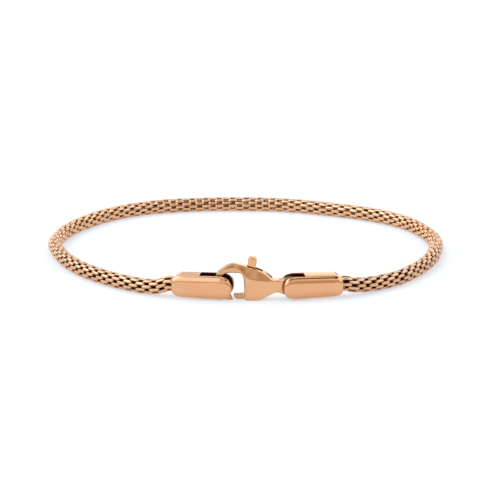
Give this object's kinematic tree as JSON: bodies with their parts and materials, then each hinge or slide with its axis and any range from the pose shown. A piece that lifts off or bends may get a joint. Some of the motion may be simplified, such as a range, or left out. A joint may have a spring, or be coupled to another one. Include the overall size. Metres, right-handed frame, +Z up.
{
  "type": "mesh bracelet",
  "caption": "Closed loop of round woven-wire chain lying flat, joined by a lobster clasp with a sprung thumb lever between two forked oval end caps.",
  "frame": {"origin": "centre of the outline seen from above, on the surface that the bracelet lies on", "axes": "+Z up from the surface, +X along the loop's width and the clasp from its hook to its tail, -Y from the middle of the loop to the clasp"},
  "size_m": [0.0662, 0.0596, 0.0069],
  "materials": {
    "rose_gold": "polished rose gold plating",
    "rose_gold_mesh": "polished rose gold plated wire, woven"
  },
  "bodies": {
    "bracelet": {"mesh_chain": "rose_gold_mesh", "end_cap_left": "rose_gold", "end_cap_right": "rose_gold", "tail_pin": "rose_gold", "clasp_body": "rose_gold", "lever_pin": "rose_gold"},
    "lever": {"clasp_lever": "rose_gold"}
  },
  "joints": [
    {"name": "lever_hinge", "type": "hinge", "parent": "bracelet", "child": "lever", "pos_m": [0.00133, -0.02773, 0.002], "axis": [0, 1, 0], "range_deg": [0, 20], "stiffness_Nm_per_rad": 0.006, "springref_deg": -28.65}
  ]
}
